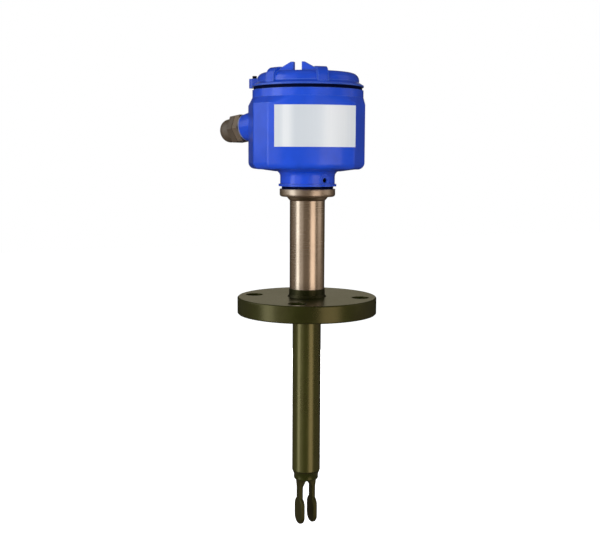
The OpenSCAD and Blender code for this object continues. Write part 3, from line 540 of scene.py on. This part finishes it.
class LEVELSWITCH_OT_neck(bpy.types.Operator):
    """Finishes the steel neck, the small steel pieces and the seals"""
    bl_idname = "levelswitch.neck"
    bl_label = "Turn the neck"

    def execute(self, context):
        steel = context.scene.level_paint.steel
        dress(turned_steel("turned_steel", steel), "neck_tube")
        dress(turned_steel("collar_steel", shade(steel, 0.95), gloss=0.26, edge=2 * MM), "swivel_adapter")
        dress(plated("plated_steel", steel),
              "retaining_ring", "stack_stud", "stack_spring", "stack_nut",
              "cup_screws", "terminal_screws", "earth_clamp")
        dress(rubber("black_rubber", tone(8, 8, 10), tone(20, 20, 22), shine=0.2),
              "swivel_seal_ring", "stem_plug", "cable_grommet", "gland_seal")
        # Painted shade and painted reflection: the cover gasket and the neck seal are a dark navy, as a
        # shadowed gap that shows the blue paint
        dress(rubber("painted_shade_rubber", tone(0, 3, 30), tone(3, 12, 50), shine=0.04),
              "neck_seal", "cover_gasket")
        return {"FINISHED"}


class LEVELSWITCH_OT_housing(bpy.types.Operator):
    """Paints the housing and the cover, and finishes the bare plate"""
    bl_idname = "levelswitch.housing"
    bl_label = "Paint the housing"

    def execute(self, context):
        blue = context.scene.level_paint.blue
        dress(blue_paint("cover_paint", shade(blue, 0.86), edge_highlight=0.85, edge=1.6 * MM), "cover")
        smooth_skin("housing_body", "housing", blue_paint("blue_paint", blue))
        dress(brushed_plate("brushed_plate"), "rating_plate")
        dress(plated("black_steel", tone(30, 30, 34), 0.4), "cover_lock_screw", "neck_set_screw")
        return {"FINISHED"}


class LEVELSWITCH_OT_gland(bpy.types.Operator):
    """Finishes the cable gland and the pale mouldings"""
    bl_idname = "levelswitch.gland"
    bl_label = "Finish the gland"

    def execute(self, context):
        colour = context.scene.level_paint.gland
        # The body and the nut are one moulding: the body is lightened as painted light and the nut darkened
        # as painted shade
        dress(moulded("gland_painted_light", shade(colour, 1.4), 0.3), "gland_body")
        dress(moulded("gland_painted_shade", shade(colour, 0.85), 0.3), "gland_nut")
        dress(moulded("grey_washer", tone(140, 142, 158), 0.5), "gland_washer")
        dress(moulded("pale_moulding", tone(216, 214, 206), 0.45),
              "gland_slip_ring", "cable_header", "mode_slider")
        return {"FINISHED"}


class LEVELSWITCH_OT_electronics(bpy.types.Operator):
    """Finishes the pieces inside the housing and the stem"""
    bl_idname = "levelswitch.electronics"
    bl_label = "Finish the electronics"

    def execute(self, context):
        dress(moulded("dark_moulding", tone(44, 44, 48), 0.5),
              "electronics_cup", "output_relay", "mode_switch")
        dress(board_lacquer("board_lacquer"), "circuit_board")
        dress(moulded("terminal_moulding", tone(44, 104, 76), 0.45), "terminal_block")
        dress(moulded("cable_sheath", tone(64, 64, 68), 0.5), "sensor_cable")
        dress(moulded("fired_ceramic", tone(226, 220, 200), 0.3), "piezo_discs", "stack_insulators")
        dress(plated("brass_sheet", tone(206, 168, 96)), "electrode_plates", "earth_screw")
        dress(clear_lamp("lamp_lens"), "status_leds")
        return {"FINISHED"}


class LEVELSWITCH_OT_threads(bpy.types.Operator):
    """Winds the threads of the cover and of the gland"""
    bl_idname = "levelswitch.threads"
    bl_label = "Wind the threads"

    def execute(self, context):
        sizes = context.scene.level_threads
        cover_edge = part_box("cover")[0].z
        skirt = thread_ridge(COVER_THREAD_RADIUS, sizes.ridge, sizes.cover_pitch,
                             COVER_THREAD_TURNS, cover_edge + COVER_THREAD_START)
        settle(skirt, "cover_thread", "cover",
               plated("thread_metal", tone(196, 198, 204), 0.3))
        gland = thread_ridge(GLAND_THREAD_RADIUS, sizes.ridge, sizes.gland_pitch,
                             GLAND_THREAD_TURNS, GLAND_THREAD_START)
        gland.matrix_world = (Matrix.Rotation(ENTRY_TURN, 4, "Z")
                              @ Matrix.Translation((BOSS_REACH, 0, BOSS_Z))
                              @ Matrix.Rotation(math.radians(90) + ENTRY_LEAN, 4, "Y")
                              @ Matrix.Translation((0, 0, -BOSS_REACH)))
        settle(gland, "gland_thread", "housing",
               moulded("gland_thread", context.scene.level_paint.gland, 0.3))
        return {"FINISHED"}


class LEVELSWITCH_OT_stage(bpy.types.Operator):
    """Sets the pale floor, the soft lights and the camera"""
    bl_idname = "levelswitch.stage"
    bl_label = "Set the stage"

    def execute(self, context):
        self.set_floor()
        self.set_world(context.scene)
        self.set_lights(context.scene)
        self.set_camera(context.scene)
        return {"FINISHED"}

    def set_floor(self):
        start_piece()
        bpy.ops.mesh.primitive_plane_add(size=FLOOR_SIZE, location=(0, 0, FLOOR_Z))
        floor = bpy.context.object
        floor.name = "floor"
        finish = Finish("pale_floor", base_color=FLOOR_GREY, roughness=0.9,
                        emission_color=FLOOR_GREY, emission_strength=1.0)
        floor.data.materials.append(finish.material)
        floor.visible_glossy = False
        floor.visible_diffuse = False

    def set_world(self, scene):
        """White behind the object, a neutral glow on matt faces, and a brown room in the gloss."""
        world = bpy.data.worlds.new("studio")
        scene.world = world
        world.use_nodes = True
        scene.view_settings.view_transform = "Standard"
        studio = Nodes(world.node_tree)

        def glow(colour, strength=1.0):
            return studio.node("ShaderNodeBackground", {}, {"Color": colour, "Strength": strength})

        def pick(ray, other, chosen):
            asked = studio.node("ShaderNodeLightPath", output=ray)
            return studio.node("ShaderNodeMixShader", {}, {0: asked, 1: other, 2: chosen})

        # The room is dark behind the object
        direction = studio.node("ShaderNodeTexCoord", output="Generated")
        facing = studio.node("ShaderNodeVectorMath", {"operation": "DOT_PRODUCT"},
                             {0: direction, 1: around(scene.level_stage.camera_turn, 1, 0)}, "Value")
        fade = studio.node("ShaderNodeMapRange", {}, {
            "Value": facing, "From Min": -0.95, "From Max": -0.35, "To Min": 0.1, "To Max": 1})
        lit = pick("Is Diffuse Ray", glow(ROOM_BROWN, fade), glow(MATT_GLOW))
        surface = studio.tree.nodes["World Output"].inputs["Surface"]
        studio.feed(surface, pick("Is Camera Ray", lit, glow(WHITE)))

    def set_lights(self, scene):
        """Lights that only gloss shows, and fills that only matt faces take."""
        for lights, gloss in ((GLOSS_LIGHTS, True), (FILL_LIGHTS, False)):
            for name, turn, height, distance, size, watts, colour in lights:
                lamp = bpy.data.lights.new(name, "AREA")
                lamp.shape = "RECTANGLE"
                lamp.size, lamp.size_y = size
                lamp.energy = watts
                lamp.color = colour
                light = bpy.data.objects.new(name, lamp)
                light.visible_glossy = gloss
                light.visible_diffuse = not gloss
                scene.collection.objects.link(light)
                place = around(scene.level_stage.camera_turn + math.radians(turn), distance, height)
                light.location = place
                light.rotation_euler = (Vector(LIGHT_TARGET) - place).to_track_quat("-Z", "Y").to_euler()

    def set_camera(self, scene):
        stage = scene.level_stage
        lens = bpy.data.cameras.new("camera")
        lens.lens = stage.lens
        lens.sensor_width = SENSOR_WIDTH
        camera = bpy.data.objects.new("camera", lens)
        scene.collection.objects.link(camera)
        place = around(stage.camera_turn, stage.camera_distance, stage.camera_height)
        camera.matrix_world = (Matrix.Translation(place)
                               @ Matrix.Rotation(stage.camera_turn + stage.camera_yaw, 4, "Z")
                               @ Matrix.Rotation(math.radians(90) - stage.camera_tilt, 4, "X")
                               @ Matrix.Rotation(stage.camera_roll, 4, "Z"))
        scene.camera = camera


class LEVELSWITCH_PT_panel(bpy.types.Panel):
    """Lists the steps that dress the level switch"""
    bl_idname = "LEVELSWITCH_PT_panel"
    bl_label = "Level switch"
    bl_space_type = "VIEW_3D"
    bl_region_type = "UI"
    bl_category = "Level switch"

    def draw(self, context):
        for group in (context.scene.level_paint, context.scene.level_threads, context.scene.level_stage):
            box = self.layout.box()
            for name in group.__annotations__:
                box.prop(group, name)
        for step in STEPS:
            self.layout.operator(step.bl_idname)


STEPS = (
    LEVELSWITCH_OT_process,
    LEVELSWITCH_OT_neck,
    LEVELSWITCH_OT_housing,
    LEVELSWITCH_OT_gland,
    LEVELSWITCH_OT_electronics,
    LEVELSWITCH_OT_threads,
    LEVELSWITCH_OT_stage,
)
GROUPS = {"level_paint": PaintColours, "level_threads": ThreadSizes, "level_stage": StageValues}


def register():
    for group in GROUPS.values():
        bpy.utils.register_class(group)
    for step in STEPS:
        bpy.utils.register_class(step)
    bpy.utils.register_class(LEVELSWITCH_PT_panel)
    for name, group in GROUPS.items():
        setattr(bpy.types.Scene, name, bpy.props.PointerProperty(type=group))


def unregister():
    for name in GROUPS:
        delattr(bpy.types.Scene, name)
    bpy.utils.unregister_class(LEVELSWITCH_PT_panel)
    for step in reversed(STEPS):
        bpy.utils.unregister_class(step)
    for group in GROUPS.values():
        bpy.utils.unregister_class(group)


def main():
    register()
    bpy.ops.levelswitch.process()
    bpy.ops.levelswitch.neck()
    bpy.ops.levelswitch.housing()
    bpy.ops.levelswitch.gland()
    bpy.ops.levelswitch.electronics()
    bpy.ops.levelswitch.threads()
    bpy.ops.levelswitch.stage()


if __name__ == "__main__":
    main()
